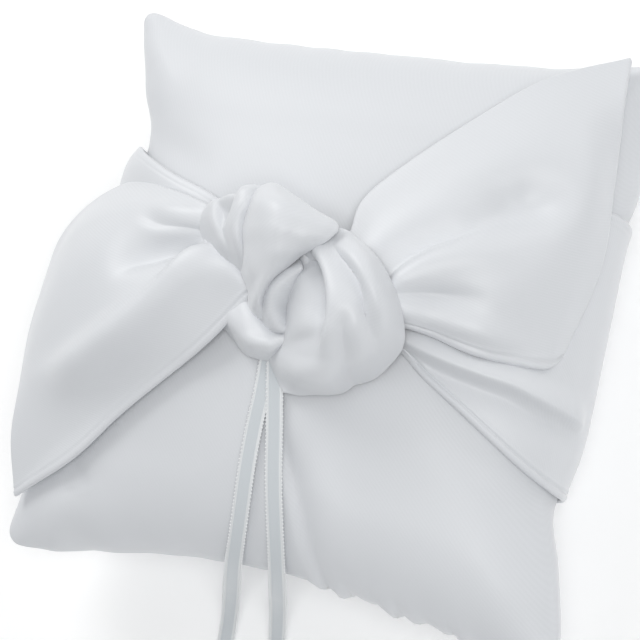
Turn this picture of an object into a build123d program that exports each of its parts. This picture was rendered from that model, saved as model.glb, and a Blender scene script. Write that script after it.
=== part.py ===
"""Ring bearer pillow: a stuffed satin cushion lying on its back, with a wide sash knotted over it.

Frame: X runs across the cushion along the sash, Y points to the cushion's top edge and Z is up.
The origin is on the table, under the middle of the cushion. All sizes are in millimetres.
The sash is one cut of cloth; it is modelled in the stretches that a person would name.
"""
from build123d import *

import math
import os

# ---- driving dimensions -------------------------------------------------------------------
CUSHION_HALF = 100.0        # middle of the cushion to its corner, along X and along Y
SIDE_SAG = 10.0             # how far the middle of each side pulls in from the corners' line
SASH_THICK = 1.8            # double layer of satin
LAYER_GAP = 0.3             # free space between layers that only lie on each other
BACK_Z = SASH_THICK + LAYER_GAP     # the back cover rests on the sash, the sash on the table
SEAM_Z = 33.0               # height of the seam that joins the two covers
CROWN_Z = 68.0              # top of the front cover under the knot
COVER_THICK = 0.8           # one layer of satin with its backing

SASH_WIDTH = 100.0          # width of the sash where it wraps the cushion
SASH_MID_Y = -4.0           # middle line of the sash on the cushion
TAIL_LIFT = 0.8             # free space between the sash and a tail that lies on it
TAIL_THICK = 9.0            # height of a puffed tail over the sash

KNOT_BASE_Z = CROWN_Z + SASH_THICK + 1.5    # underside of the knot, over its tacking stitches
RIBBON_WIDTH = 6.0
RIBBON_THICK = 0.6
THREAD_R = 0.3

# ---- cushion ------------------------------------------------------------------------------
# Level outlines of one half of the cushion, from the seam to the crown. Each row holds the
# height as a share of the half's height, the half width at the corners, the inward sag of a
# side (negative bulges out) and the length that a rounded corner takes from a side.
FRONT_LEVELS = (
    (0.00, CUSHION_HALF, SIDE_SAG, 9.0),
    (0.15, 94.0, 4.5, 20.0),
    (0.35, 86.0, -1.0, 32.0),
    (0.55, 76.0, -5.0, 38.0),
    (0.72, 65.0, -7.0, 40.0),
    (0.85, 52.0, -8.0, 36.0),
    (0.94, 38.0, -7.0, 28.0),
    (1.00, 20.0, -5.0, 16.0),
)
BACK_LEVELS = (
    (0.00, CUSHION_HALF, SIDE_SAG, 9.0),
    (0.20, 94.0, 4.0, 20.0),
    (0.45, 86.0, -1.0, 30.0),
    (0.70, 77.0, -4.0, 36.0),
    (0.90, 67.0, -6.0, 38.0),
    (1.00, 56.0, -6.0, 36.0),
)


def level_outline(half, sag, corner, z):
    """Closed level outline: four bowed sides joined by four round corners."""
    side_end = half - corner
    corner_mid = half - corner * (1 - math.sqrt(0.5))
    sketch_edges = []
    for turn in range(4):
        side = ThreePointArc((-side_end, half), (0, half - sag), (side_end, half))
        round_corner = ThreePointArc((side_end, half), (corner_mid, corner_mid), (half, side_end))
        for edge in (side, round_corner):
            sketch_edges.append(edge.rotate(Axis.Z, -90 * turn))
    return Pos(0, 0, z) * make_face(sketch_edges)


def half_cushion(levels, far_z, grow):
    """One half of the cushion, from the seam to far_z, with every wall moved out by grow."""
    away = math.copysign(1, far_z - SEAM_Z)
    reach = far_z - SEAM_Z + away * grow
    faces = [
        level_outline(half + grow, sag, corner, SEAM_Z + share * reach)
        for share, half, sag, corner in levels
    ]
    return loft(faces, ruled=True)


def front_half(grow):
    return half_cushion(FRONT_LEVELS, CROWN_Z, grow)


def back_half(grow):
    return half_cushion(BACK_LEVELS, BACK_Z, grow)


def cushion_nodes():
    """Two satin covers that meet at the seam, and the loose fibre between them."""
    cover_inside = -COVER_THICK
    fill_outside = -COVER_THICK - LAYER_GAP
    return {
        "cover_front": front_half(0) - front_half(cover_inside),
        "cover_back": back_half(0) - back_half(cover_inside),
        "filling": front_half(fill_outside) + back_half(fill_outside),
    }


# ---- sash ---------------------------------------------------------------------------------
PRISM_TOP = 200.0


def prism(points):
    """Upright prism through the whole height over a polygon in plan."""
    return extrude(make_face(Polyline(*points, close=True)), PRISM_TOP)


BAND_LOW_Y = SASH_MID_Y - SASH_WIDTH / 2
BAND_HIGH_Y = SASH_MID_Y + SASH_WIDTH / 2
BAND_OUT_X = CUSHION_HALF + 20
LEFT_GATHER = (-30.0, -12.0, 21.0)      # x, low y and high y where the left band meets the knot
RIGHT_GATHER = (47.0, -16.0, 10.0)      # the same on the right


def band_plan(gather, out_x):
    """Plan of a band that narrows from the cushion's side to the knot."""
    knot_x, low_y, high_y = gather
    side_x = math.copysign(88.0, out_x)
    return prism([
        (knot_x, low_y), (side_x, BAND_LOW_Y), (out_x, BAND_LOW_Y),
        (out_x, BAND_HIGH_Y), (side_x, BAND_HIGH_Y), (knot_x, high_y),
    ])


def sash_bands():
    """The sash on the back and on both sides of the front, one skin over the covers."""
    outer = LAYER_GAP + SASH_THICK
    front_skin = front_half(outer) - front_half(LAYER_GAP)
    back_skin = back_half(outer) - back_half(LAYER_GAP)
    across = prism([
        (-BAND_OUT_X, BAND_LOW_Y), (BAND_OUT_X, BAND_LOW_Y),
        (BAND_OUT_X, BAND_HIGH_Y), (-BAND_OUT_X, BAND_HIGH_Y),
    ])
    return {
        "sash_band_back": back_skin & across,
        "sash_band_left": front_skin & band_plan(LEFT_GATHER, -BAND_OUT_X),
        "sash_band_right": front_skin & band_plan(RIGHT_GATHER, BAND_OUT_X),
    }


# Plans of the tails, starting and ending on the line where they leave the knot.
TAIL_LEFT_PLAN = (
    (-33, 20), (-48, 26), (-72, 28), (-86, 18), (-94, 0), (-96, -25),
    (-94, -50), (-90, -78), (-86, -83), (-78, -78), (-60, -54), (-38, -26), (-27, -10),
)
TAIL_RIGHT_PLAN = (
    (18, 27), (24, 42), (44, 62), (66, 77), (84, 87), (89, 83), (91, 60),
    (93, 36), (91, 10), (88, -7), (80, -12), (64, -11), (48, -7),
)


def sash_tails():
    """Two puffed tails that spread over the bands and the front cover."""
    inner = LAYER_GAP + SASH_THICK + TAIL_LIFT
    puffed_skin = front_half(inner + TAIL_THICK) - front_half(inner)
    return {
        "tail_left": puffed_skin & prism(TAIL_LEFT_PLAN),
        "tail_right": puffed_skin & prism(TAIL_RIGHT_PLAN),
    }


# ---- knot ---------------------------------------------------------------------------------
# Each fold of the knot is a rounded block: plan outline, underside and top.
KNOT_FOLDS = {
    "knot_over_flap": (
        ((-11.5, 20), (-2, 23.5), (12, 18.5), (28, 7), (20, 4), (10, 2.5), (2.5, -1),
         (-3.5, -8), (-9, -4), (-12, 7)),
        KNOT_BASE_Z + 1, 98.0,
    ),
    "knot_left_fold": (
        ((-27, 4), (-26.5, 14), (-21, 21.5), (-15.5, 19), (-15, 9), (-16.5, -1), (-21, -3.5)),
        KNOT_BASE_Z, 90.0,
    ),
    "knot_inner_loop": (
        ((-1.5, -9.5), (2, -5), (5.6, -7), (5, -12), (2.5, -17), (-1, -14.5)),
        KNOT_BASE_Z, 86.0,
    ),
    "knot_front_bundle": (
        ((12, 0), (22, 2), (32, 0), (39.5, -8), (43, -19), (36, -28.5), (22, -35),
         (10, -33.5), (6, -26), (7.5, -18), (8.5, -8)),
        KNOT_BASE_Z, 95.0,
    ),
    "knot_under_fold": (
        ((-16, -12.5), (-9, -11), (-3.5, -16), (0.5, -20), (3, -25), (0, -30), (-8, -28), (-14, -21)),
        KNOT_BASE_Z, 79.0,
    ),
}
# Level outlines of a fold: share of its height, and scale of its plan about its middle.
FOLD_LEVELS = ((0.0, 0.94), (0.3, 1.0), (0.75, 0.9), (1.0, 0.62))


def fold_outline(plan, size, z):
    """Smooth level outline of a fold, its plan scaled by size about its middle."""
    middle_x = sum(x for x, _ in plan) / len(plan)
    middle_y = sum(y for _, y in plan) / len(plan)
    points = [(middle_x + size * (x - middle_x), middle_y + size * (y - middle_y)) for x, y in plan]
    return Pos(0, 0, z) * make_face(Spline(*points, periodic=True))


def knot_nodes():
    """The knotted stretch of the sash, fold by fold, clear of each other."""
    nodes = {}
    for name, (plan, low_z, high_z) in KNOT_FOLDS.items():
        levels = [
            fold_outline(plan, size, low_z + share * (high_z - low_z)) for share, size in FOLD_LEVELS
        ]
        nodes[name] = loft(levels)
    return nodes


# ---- stitches -----------------------------------------------------------------------------
CLOSING_STITCH_COUNT = 14
CLOSING_FIRST_X = 12.0      # the stuffing opening is closed right of the bottom side's middle
CLOSING_STEP = 4.0
CLOSING_STITCH_LENGTH = 3.0


def side_y(x):
    """Y of the seam at x on the bottom side, whose bowed line is an arc."""
    chord_half = CUSHION_HALF - FRONT_LEVELS[0][3]
    radius = (chord_half ** 2 + SIDE_SAG ** 2) / (2 * SIDE_SAG)
    centre_y = -CUSHION_HALF + SIDE_SAG - radius
    return centre_y + math.sqrt(radius ** 2 - x ** 2)


def closing_stitches():
    """Hand stitches that close the stuffing opening, upright across the bottom seam."""
    stitches = []
    for index in range(CLOSING_STITCH_COUNT):
        x = CLOSING_FIRST_X + index * CLOSING_STEP
        y = side_y(x) - THREAD_R - LAYER_GAP
        stitches.append(Pos(x, y, SEAM_Z) * Cylinder(THREAD_R, CLOSING_STITCH_LENGTH))
    return Compound(children=stitches)


def lying_thread(x, y, z, length, angle):
    """A short stitch that lies flat, turned by angle from X."""
    return Pos(x, y, z) * Rot(0, 0, angle) * Rot(0, 90, 0) * Cylinder(THREAD_R, length)


def knot_tack_stitches():
    """Stitches that hold the knot to the front cover, under the knot."""
    z = CROWN_Z + LAYER_GAP + THREAD_R
    places = ((-6, 8, 20), (2, 10, -15), (10, 6, 35), (0, -2, 10), (9, -4, -30))
    return Compound(children=[lying_thread(x, y, z, 6.0, angle) for x, y, angle in places])


# ---- ring ribbons -------------------------------------------------------------------------
# Middle lines of the two ribbons: out from under the knot, down the front of the cushion, over
# its lower side and along the table.
RIBBON_FOLD_Y = -22.9       # front edge of the ribbon's sewn fold, hidden under the knot
RIBBON_FOLD_Z = 69.8
RIBBON_FLOOR_Z = 0.6
RIBBON_LEFT_ROUTE = (
    (-3, -23.5, 69.3), (-2.3, -34, 69.1), (-2.6, -46, 68.3), (-3, -60, 65.6), (-3.8, -74, 60.3),
    (-6, -86, 52.3), (-10, -95, 40), (-15, -101.5, 26), (-19.5, -110, 12), (-22.2, -122, 3.5),
    (-25, -137, RIBBON_FLOOR_Z), (-32, -159, RIBBON_FLOOR_Z), (-33, -187, RIBBON_FLOOR_Z),
    (-25, -217, RIBBON_FLOOR_Z), (-24, -246, RIBBON_FLOOR_Z),
)
# The right ribbon starts on top of the left one.
RIBBON_RIGHT_ROUTE = (
    (-0.5, -23.5, 70.4), (1.9, -34, 70.2), (4.6, -46, 69), (6.5, -60, 65.9), (8.1, -74, 60.5),
    (8.6, -86, 52.5), (6.2, -95, 40), (2.3, -101.5, 26), (-1.3, -110, 12), (-2.6, -122, 3.5),
    (-3.2, -137, RIBBON_FLOOR_Z), (-1, -160, RIBBON_FLOOR_Z), (5, -188, RIBBON_FLOOR_Z),
    (9, -216, RIBBON_FLOOR_Z), (6, -243, RIBBON_FLOOR_Z),
)


def route_radii(points):
    """Radius of each corner: as large as the two runs beside it allow."""
    radii = []
    for before, corner, after in zip(points, points[1:], points[2:]):
        run_in = Vector(*corner) - Vector(*before)
        run_out = Vector(*after) - Vector(*corner)
        half_turn = math.radians(run_in.get_angle(run_out)) / 2
        shorter = min(run_in.length, run_out.length)
        radii.append(0.45 * shorter / math.tan(half_turn))
    return radii


def ribbon(name, points):
    """Flat strip swept along straight runs joined by tangent arcs."""
    radii = route_radii(points)
    path = FilletPolyline(*points, radius=radii)
    start = Plane(origin=path @ 0, z_dir=path % 0, x_dir=(path % 0).cross(Vector(0, 0, 1)))
    strip = sweep(start * Rectangle(RIBBON_WIDTH, RIBBON_THICK), path)
    share = strip.volume / (RIBBON_WIDTH * RIBBON_THICK * path.length)
    print(name, "length", round(path.length, 1), "volume over section times length", round(share, 4))
    print(name, "radii", [round(radius, 1) for radius in radii])
    return strip


RIBBON_FOLD_SIZE = (14.0, 9.0, 1.2)


def ribbon_fold():
    """The folded middle of the ribbon, sewn down under the knot."""
    width, depth, height = RIBBON_FOLD_SIZE
    return Pos(0, RIBBON_FOLD_Y + depth / 2, RIBBON_FOLD_Z) * Box(width, depth, height)


def ribbon_tack_stitches():
    """Cross stitch on the ribbon's fold."""
    z = RIBBON_FOLD_Z + RIBBON_FOLD_SIZE[2] / 2 + THREAD_R + 0.05
    y = RIBBON_FOLD_Y + RIBBON_FOLD_SIZE[1] / 2
    return Compound(children=[lying_thread(x, y, z, 4.0, 45) for x in (-4, 4)])


# ---- all nodes ----------------------------------------------------------------------------
def main():
    nodes = {}
    nodes.update(cushion_nodes())
    nodes.update(sash_bands())
    nodes.update(sash_tails())
    nodes.update(knot_nodes())
    nodes["closing_stitches"] = closing_stitches()
    nodes["knot_tack_stitches"] = knot_tack_stitches()
    nodes["ribbon_tack_stitches"] = ribbon_tack_stitches()
    nodes["ribbon_fold"] = ribbon_fold()
    nodes["ribbon_left"] = ribbon("ribbon_left", RIBBON_LEFT_ROUTE)
    nodes["ribbon_right"] = ribbon("ribbon_right", RIBBON_RIGHT_ROUTE)
    os.makedirs("parts", exist_ok=True)
    for name, shape in nodes.items():
        export_step(shape, f"parts/{name}.step")


main()
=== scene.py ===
"""Looks of a ring bearer pillow: a stuffed satin cushion, a knotted satin sash and two ribbons.

Geometry is written in millimetres in the CAD model's frame (X across the cushion along the sash,
Y to its top edge, Z up from the table) and turned into metres where a mesh is made.
"""
import math

import bmesh
import bpy
import numpy as np
from mathutils import Matrix, Vector


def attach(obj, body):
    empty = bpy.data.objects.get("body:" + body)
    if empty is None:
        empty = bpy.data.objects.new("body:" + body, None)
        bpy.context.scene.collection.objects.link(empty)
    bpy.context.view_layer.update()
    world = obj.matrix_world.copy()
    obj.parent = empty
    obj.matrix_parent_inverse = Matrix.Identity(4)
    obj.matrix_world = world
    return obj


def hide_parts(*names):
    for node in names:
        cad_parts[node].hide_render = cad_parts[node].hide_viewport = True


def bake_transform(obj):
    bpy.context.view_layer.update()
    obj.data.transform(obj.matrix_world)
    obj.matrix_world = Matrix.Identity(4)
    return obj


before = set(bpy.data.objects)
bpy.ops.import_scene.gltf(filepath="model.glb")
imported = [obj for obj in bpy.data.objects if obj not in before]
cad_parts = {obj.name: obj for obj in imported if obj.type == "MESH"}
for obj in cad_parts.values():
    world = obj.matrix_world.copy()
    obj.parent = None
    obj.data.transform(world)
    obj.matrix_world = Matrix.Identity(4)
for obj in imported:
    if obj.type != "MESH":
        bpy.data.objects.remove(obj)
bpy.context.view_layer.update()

MM = 0.001


# ---- camera, light and floor ----------------------------------------------------------------
CAMERA_AZIMUTH = math.radians(67.4)
CAMERA_ELEVATION = math.radians(66.5)
CAMERA_ROLL = math.radians(-56.2)
CAMERA_DISTANCE = 541.0
CAMERA_TARGET = (-4.4, -3.7, 30.0)
CAMERA_LENS = 90.0


def make_camera():
    """Camera high over the cushion's right side, rolled so that the sash runs across."""
    sin_a, cos_a = math.sin(CAMERA_AZIMUTH), math.cos(CAMERA_AZIMUTH)
    sin_e, cos_e = math.sin(CAMERA_ELEVATION), math.cos(CAMERA_ELEVATION)
    back = Vector((sin_a * cos_e, -cos_a * cos_e, sin_e))
    level_x = Vector((0, 0, 1)).cross(back).normalized()
    level_y = back.cross(level_x)
    right = math.cos(CAMERA_ROLL) * level_x + math.sin(CAMERA_ROLL) * level_y
    up = back.cross(right)
    place = (Vector(CAMERA_TARGET) + back * CAMERA_DISTANCE) * MM
    camera = bpy.data.objects.new("camera", bpy.data.cameras.new("camera"))
    camera.data.lens = CAMERA_LENS
    camera.data.clip_start = 0.01
    turn = Matrix((right, up, back)).transposed().to_4x4()
    camera.matrix_world = Matrix.Translation(place) @ turn
    bpy.context.scene.collection.objects.link(camera)
    bpy.context.scene.camera = camera
    return right, up, back


CAMERA_RIGHT, CAMERA_UP, CAMERA_BACK = make_camera()


LIGHT_SIZE = 0.6            # metres, as are the lights' offsets
LIGHT_COLOUR = (1.0, 0.995, 0.985)
SKY_COLOUR = (0.96, 0.98, 1.0, 1.0)
SKY_STRENGTH = 0.43


def area_light(name, side, rise, depth, power):
    """Square soft light at an offset from the cushion along the picture's right, up and depth."""
    light = bpy.data.objects.new(name, bpy.data.lights.new(name, "AREA"))
    light.data.size = LIGHT_SIZE
    light.data.energy = power
    light.data.color = LIGHT_COLOUR
    offset = CAMERA_RIGHT * side + CAMERA_UP * rise + CAMERA_BACK * depth
    light.location = offset
    light.rotation_euler = offset.to_track_quat("Z", "Y").to_euler()
    bpy.context.scene.collection.objects.link(light)


def make_lights():
    area_light("front_light", 0.0, 0.0, 1.25, 6.0)
    area_light("low_light", -0.7, 0.9, 0.3, 5.2)
    area_light("right_light", 0.6, 0.85, 0.6, 1.4)
    world = bpy.data.worlds.new("studio")
    world.use_nodes = True
    background = world.node_tree.nodes["Background"]
    background.inputs["Color"].default_value = SKY_COLOUR
    background.inputs["Strength"].default_value = SKY_STRENGTH
    bpy.context.scene.world = world
    bpy.context.scene.view_settings.view_transform = "Standard"


# ---- smooth surfaces from a few control points ------------------------------------------------
def spline_weights(count, places):
    """Matrix from count control points to points on their Catmull-Rom curve, places 0 to 1."""
    weights = np.zeros((len(places), count))
    for row, share in enumerate(places):
        place = share * (count - 1)
        span = min(int(place), count - 2)
        t = place - span
        basis = (
            -0.5 * t + t * t - 0.5 * t ** 3,
            1 - 2.5 * t * t + 1.5 * t ** 3,
            0.5 * t + 2 * t * t - 1.5 * t ** 3,
            -0.5 * t * t + 0.5 * t ** 3,
        )
        for index, part in zip(range(span - 1, span + 3), basis):
            if index < 0:
                weights[row, 0] += 2 * part
                weights[row, 1] -= part
            elif index >= count:
                weights[row, count - 1] += 2 * part
                weights[row, count - 2] -= part
            else:
                weights[row, index] += part
    return weights


def curve_points(points, samples):
    return spline_weights(len(points), np.linspace(0, 1, samples)) @ np.array(points, float)


def edge_places(length, step, fine, fine_reach):
    """Places from 0 to 1 on a line of that length: step apart, and fine apart near both ends."""
    near = np.arange(0, fine_reach, fine)
    count = max(int((length - 2 * fine_reach) / step), 2)
    middle = np.linspace(fine_reach, length - fine_reach, count)
    return np.concatenate([near, middle, (length - near)[::-1]]) / length


def surface(rows, step=0.8, fine=0.4, fine_reach=5.0):
    """Grid of points through rows of control points, finer near its four rims."""
    control = np.array(rows, float)
    long_rows = np.linalg.norm(np.diff(control, axis=0), axis=-1).sum(0).mean()
    long_columns = np.linalg.norm(np.diff(control, axis=1), axis=-1).sum(1).mean()
    down = spline_weights(control.shape[0], edge_places(long_rows, step, fine, fine_reach))
    over = spline_weights(control.shape[1], edge_places(long_columns, step, fine, fine_reach))
    return np.einsum("ai,bj,ijk->abk", down, over, control)


def grid_normals(grid, outside=None):
    """Unit normals of a grid, on its upper side or on the side away from a point inside."""
    along = np.gradient(grid, axis=0)
    across = np.gradient(grid, axis=1)
    normal = np.cross(across, along)
    normal /= np.maximum(np.linalg.norm(normal, axis=-1, keepdims=True), 1e-9)
    facing = normal[..., 2] if outside is None else (normal * (grid - np.array(outside))).sum(-1)
    return normal if facing.sum() > 0 else -normal


def stroke(x, y, line, left, right, height, fade=(1, 1)):
    """Height of a soft ridge (or valley, if negative) along a smooth line in plan.

    left and right are its widths on either side of the line as it runs. fade says whether it
    dies away at its start and at its end.
    """
    path = curve_points(line, 36)
    best = np.full(x.shape, 1e9)
    place = np.zeros(x.shape)
    lean = np.zeros(x.shape)
    for index in range(len(path) - 1):
        start, step = path[index], path[index + 1] - path[index]
        length_2 = max(step @ step, 1e-9)
        dx, dy = x - start[0], y - start[1]
        t = np.clip((dx * step[0] + dy * step[1]) / length_2, 0, 1)
        off_x, off_y = dx - t * step[0], dy - t * step[1]
        distance = np.hypot(off_x, off_y)
        nearer = distance < best
        size = length_2 ** 0.5 * np.maximum(distance, 1e-6)
        turned = (step[0] * off_y - step[1] * off_x) / size
        best = np.where(nearer, distance, best)
        place = np.where(nearer, (index + t) / (len(path) - 1), place)
        lean = np.where(nearer, turned, lean)
    width = (left + right) / 2 + lean * (left - right) / 2
    fade_in = np.sin(np.clip(place * 2.2, 0, 1) * math.pi / 2) ** 2 if fade[0] else 1.0
    fade_out = np.sin(np.clip((1 - place) * 2.2, 0, 1) * math.pi / 2) ** 2 if fade[1] else 1.0
    return height * np.exp(-((best / width) ** 2)) * fade_in * fade_out


def raise_strokes(grid, strokes):
    """Moves a grid along its normals by the sum of its strokes."""
    x, y = grid[..., 0], grid[..., 1]
    total = np.zeros(x.shape)
    for one in strokes:
        total += stroke(x, y, *one)
    return grid + grid_normals(grid) * total[..., None]


def turned_seam(grid, sides, normal, lip=0.22, groove=-0.38):
    """Raises the pressed lip and sinks the seam line beside it along chosen rims of a grid.

    sides names them: "first_row", "last_row", "first_column", "last_column".
    """
    steps_down = np.linalg.norm(np.diff(grid, axis=0), axis=-1)
    steps_over = np.linalg.norm(np.diff(grid, axis=1), axis=-1)
    down = np.concatenate([np.zeros((1, grid.shape[1])), np.cumsum(steps_down, 0)], 0)
    over = np.concatenate([np.zeros((grid.shape[0], 1)), np.cumsum(steps_over, 1)], 1)
    away = {
        "first_row": down, "last_row": down[-1:] - down,
        "first_column": over, "last_column": over[:, -1:] - over,
    }
    distance = np.minimum.reduce([away[side] for side in sides])
    shape = lip * np.exp(-(((distance - 0.7) / 0.6) ** 2))
    shape += groove * np.exp(-(((distance - 1.7) / 0.35) ** 2))
    shape += 0.6 * lip * np.exp(-(((distance - 2.6) / 0.6) ** 2))
    return grid + normal * shape[..., None]


# ---- meshes -----------------------------------------------------------------------------------
def new_mesh(name, vertices, faces, threads=None):
    """Mesh object from millimetres. threads holds each vertex's place in the woven cloth."""
    mesh = bpy.data.meshes.new(name)
    mesh.from_pydata([tuple(v) for v in np.asarray(vertices) * MM], [], faces)
    if threads is not None:
        attribute = mesh.attributes.new("weave", "FLOAT_VECTOR", "POINT")
        attribute.data.foreach_set("vector", np.asarray(threads, float).ravel())
    piece = bpy.data.objects.new(name, mesh)
    bpy.context.scene.collection.objects.link(piece)
    face_outwards(piece)
    return piece


def face_outwards(piece):
    """Turns a closed mesh's faces outwards, drops loose points and shades it smooth."""
    work = bmesh.new()
    work.from_mesh(piece.data)
    bmesh.ops.delete(work, geom=[v for v in work.verts if not v.link_faces], context="VERTS")
    bmesh.ops.recalc_face_normals(work, faces=work.faces)
    work.to_mesh(piece.data)
    work.free()
    piece.data.polygons.foreach_set("use_smooth", [True] * len(piece.data.polygons))


def grid_threads(grid):
    """Place of each point of a grid in its cloth: lengths across and along it."""
    along = np.linalg.norm(np.diff(grid, axis=0), axis=-1).mean(axis=1)
    across = np.linalg.norm(np.diff(grid, axis=1), axis=-1).mean(axis=0)
    v = np.concatenate([[0], np.cumsum(along)])
    u = np.concatenate([[0], np.cumsum(across)])
    return np.stack(np.broadcast_arrays(u[None, :], v[:, None], 0.0), -1)


def plan_threads(grid, turn):
    """Place in a nearly flat cloth whose threads run at an angle in plan, in degrees."""
    c, s = math.cos(math.radians(turn)), math.sin(math.radians(turn))
    x, y, z = grid[..., 0], grid[..., 1], grid[..., 2]
    return np.stack([c * x + s * y, c * y - s * x + 0.6 * z, 0 * z], -1)


def cloth(name, grid, thickness, normal, threads):
    """Closed piece of cloth around a grid, with rounded rims."""
    rows, columns, _ = grid.shape
    half = thickness / 2
    flat, facing = grid.reshape(-1, 3), normal.reshape(-1, 3)
    count = rows * columns
    faces = []
    for r in range(rows - 1):
        for c in range(columns - 1):
            corner = r * columns + c
            quad = (corner, corner + 1, corner + columns + 1, corner + columns)
            faces.append(quad)
            faces.append(tuple(count + i for i in reversed(quad)))
    rim = list(range(columns))
    rim += [r * columns + columns - 1 for r in range(1, rows)]
    rim += [(rows - 1) * columns + c for c in range(columns - 2, -1, -1)]
    rim += [r * columns for r in range(rows - 2, 0, -1)]
    ring = flat[rim]
    outward = np.cross(np.roll(ring, -1, 0) - np.roll(ring, 1, 0), facing[rim])
    outward /= np.maximum(np.linalg.norm(outward, axis=-1, keepdims=True), 1e-9)
    if (outward * (grid[rows // 2, columns // 2] - ring)).sum() > 0:
        outward = -outward
    size = len(rim)
    loops = [np.array(rim)]
    rings = []
    for index, angle in enumerate((50, 0, -50)):
        lift = math.sin(math.radians(angle)) * half
        reach = math.cos(math.radians(angle)) * half
        rings.append(ring + facing[rim] * lift + outward * reach)
        loops.append(2 * count + index * size + np.arange(size))
    loops.append(np.array(rim) + count)
    for upper, lower in zip(loops, loops[1:]):
        for k in range(size):
            n = (k + 1) % size
            faces.append((int(upper[k]), int(lower[k]), int(lower[n]), int(upper[n])))
    vertices = np.concatenate([flat + facing * half, flat - facing * half, *rings])
    woven = threads.reshape(-1, 3)
    return new_mesh(name, vertices, faces, np.concatenate([woven, woven, *[woven[rim]] * 3]))


# ---- materials --------------------------------------------------------------------------------
def tint_by(nodes, links, factor, colour, dark):
    """Shader's colour between a darker share of a colour and the colour itself."""
    tint = nodes.new("ShaderNodeMix")
    tint.data_type = "RGBA"
    tint.inputs["A"].default_value = (*[c * dark for c in colour], 1)
    tint.inputs["B"].default_value = (*colour, 1)
    links.new(factor, tint.inputs["Factor"])
    links.new(tint.outputs["Result"], nodes["Principled BSDF"].inputs["Base Color"])


def bump_by(nodes, links, height, strength, distance):
    bump = nodes.new("ShaderNodeBump")
    bump.inputs["Strength"].default_value = strength
    bump.inputs["Distance"].default_value = distance
    links.new(height, bump.inputs["Height"])
    links.new(bump.outputs["Normal"], nodes["Principled BSDF"].inputs["Normal"])


def satin(name, colour, roughness, sheen, period, relief, gloss_change):
    """Satin: a fine twill of diagonal threads in the cloth's own directions, with soft lustre."""
    material = bpy.data.materials.new(name)
    material.use_nodes = True
    nodes, links = material.node_tree.nodes, material.node_tree.links
    shader = nodes["Principled BSDF"]
    shader.inputs["Roughness"].default_value = roughness
    shader.inputs["Sheen Weight"].default_value = sheen
    shader.inputs["Sheen Roughness"].default_value = 0.4
    shader.inputs["Specular IOR Level"].default_value = 0.45
    threads = nodes.new("ShaderNodeAttribute")
    threads.attribute_name = "weave"
    twill = nodes.new("ShaderNodeTexWave")
    twill.wave_type = "BANDS"
    twill.bands_direction = "DIAGONAL"
    twill.inputs["Scale"].default_value = 0.314 / period
    twill.inputs["Distortion"].default_value = 0.6
    twill.inputs["Detail"].default_value = 2.0
    links.new(threads.outputs["Vector"], twill.inputs["Vector"])
    slub = nodes.new("ShaderNodeTexNoise")
    slub.inputs["Scale"].default_value = 1.6
    slub.inputs["Detail"].default_value = 4.0
    links.new(threads.outputs["Vector"], slub.inputs["Vector"])
    height = nodes.new("ShaderNodeMix")
    height.data_type = "FLOAT"
    height.inputs["Factor"].default_value = 0.35
    links.new(twill.outputs["Fac"], height.inputs["A"])
    links.new(slub.outputs["Fac"], height.inputs["B"])
    bump_by(nodes, links, height.outputs["Result"], relief, 0.0002)
    tint_by(nodes, links, height.outputs["Result"], colour, 0.975)
    lustre = nodes.new("ShaderNodeMapRange")
    lustre.inputs["To Min"].default_value = roughness - gloss_change
    lustre.inputs["To Max"].default_value = roughness + gloss_change
    links.new(slub.outputs["Fac"], lustre.inputs["Value"])
    links.new(lustre.outputs["Result"], shader.inputs["Roughness"])
    return material


CUSHION_SATIN = satin("cushion_satin", (0.715, 0.73, 0.755), 0.5, 0.25, 0.75, 0.08, 0.05)
SASH_SATIN = satin("sash_satin", (0.72, 0.735, 0.76), 0.42, 0.3, 0.6, 0.08, 0.05)
RIBBON_SATIN = satin("ribbon_satin", (0.635, 0.67, 0.695), 0.32, 0.15, 0.35, 0.12, 0.05)


def lighten_edges(material, half_width, colour):
    """Paler woven borders along both edges of a narrow ribbon."""
    nodes, links = material.node_tree.nodes, material.node_tree.links
    shader = nodes["Principled BSDF"]
    threads = nodes["Attribute"]
    split = nodes.new("ShaderNodeSeparateXYZ")
    links.new(threads.outputs["Vector"], split.inputs["Vector"])
    centred = nodes.new("ShaderNodeMath")
    centred.operation = "SUBTRACT"
    centred.inputs[1].default_value = half_width
    links.new(split.outputs["X"], centred.inputs[0])
    away = nodes.new("ShaderNodeMath")
    away.operation = "ABSOLUTE"
    links.new(centred.outputs["Value"], away.inputs[0])
    border = nodes.new("ShaderNodeMapRange")
    border.inputs["From Min"].default_value = half_width - 0.95
    border.inputs["From Max"].default_value = half_width - 0.75
    links.new(away.outputs["Value"], border.inputs["Value"])
    blend = nodes.new("ShaderNodeMix")
    blend.data_type = "RGBA"
    blend.inputs["B"].default_value = (*colour, 1)
    links.new(border.outputs["Result"], blend.inputs["Factor"])
    links.new(shader.inputs["Base Color"].links[0].from_socket, blend.inputs["A"])
    links.new(blend.outputs["Result"], shader.inputs["Base Color"])


lighten_edges(RIBBON_SATIN, 2.75, (0.76, 0.78, 0.79))


def fibrous(name, colour, roughness, scale):
    """Thread or loose fibre: fine noise drawn out along one direction."""
    material = bpy.data.materials.new(name)
    material.use_nodes = True
    nodes, links = material.node_tree.nodes, material.node_tree.links
    shader = nodes["Principled BSDF"]
    shader.inputs["Roughness"].default_value = roughness
    shader.inputs["Sheen Weight"].default_value = 0.3
    place = nodes.new("ShaderNodeTexCoord")
    fibres = nodes.new("ShaderNodeTexNoise")
    fibres.inputs["Scale"].default_value = scale
    fibres.inputs["Detail"].default_value = 6.0
    fibres.inputs["Distortion"].default_value = 1.5
    links.new(place.outputs["Object"], fibres.inputs["Vector"])
    tint_by(nodes, links, fibres.outputs["Fac"], colour, 0.85)
    bump_by(nodes, links, fibres.outputs["Fac"], 0.5, 0.0003)
    return material


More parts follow.
